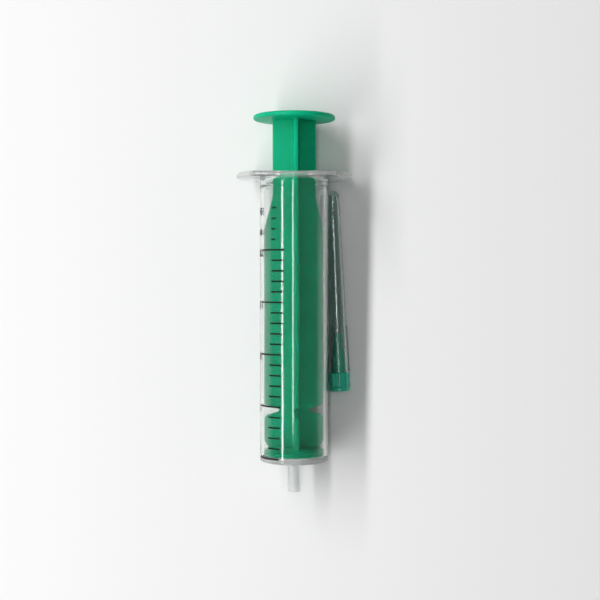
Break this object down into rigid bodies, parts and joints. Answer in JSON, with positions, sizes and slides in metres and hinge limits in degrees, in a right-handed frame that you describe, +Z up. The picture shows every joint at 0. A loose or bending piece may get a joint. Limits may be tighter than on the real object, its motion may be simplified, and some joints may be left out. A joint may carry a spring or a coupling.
{
  "type": "syringe",
  "caption": "Disposable two-part syringe with clear graduated barrel, finger flange, green cross-ribbed plunger and thumb disc, with its capped needle lying beside it.",
  "frame": {"origin": "centre of the syringe's bounding box in X and Y, on the floor it lies on", "axes": "+Y along the syringe from nozzle to thumb disc, +Z up from the floor, +X towards the needle"},
  "size_m": [0.0368, 0.1204, 0.0265],
  "materials": {
    "barrel": "clear, glossy",
    "plunger": "satin green",
    "needle_hub": "translucent green, glossy",
    "needle_cannula": "drawn",
    "needle_adhesive": "clear, glossy",
    "needle_sheath": "smoky, translucent, glossy"
  },
  "bodies": {
    "barrel": {"barrel": "barrel", "needle_sheath": "needle_sheath"},
    "plunger": {"plunger": "plunger"},
    "needle": {"needle_hub": "needle_hub", "needle_cannula": "needle_cannula", "needle_adhesive": "needle_adhesive"}
  },
  "joints": [
    {"name": "plunger_slide", "type": "slide", "parent": "barrel", "child": "plunger", "axis": [0, 0.9997, 0.0228], "range_m": [0, 0.0835]},
    {"name": "needle_draw", "type": "slide", "parent": "barrel", "child": "needle", "axis": [0.0384, -0.9991, 0.0177], "range_m": [0, 0.055]}
  ]
}
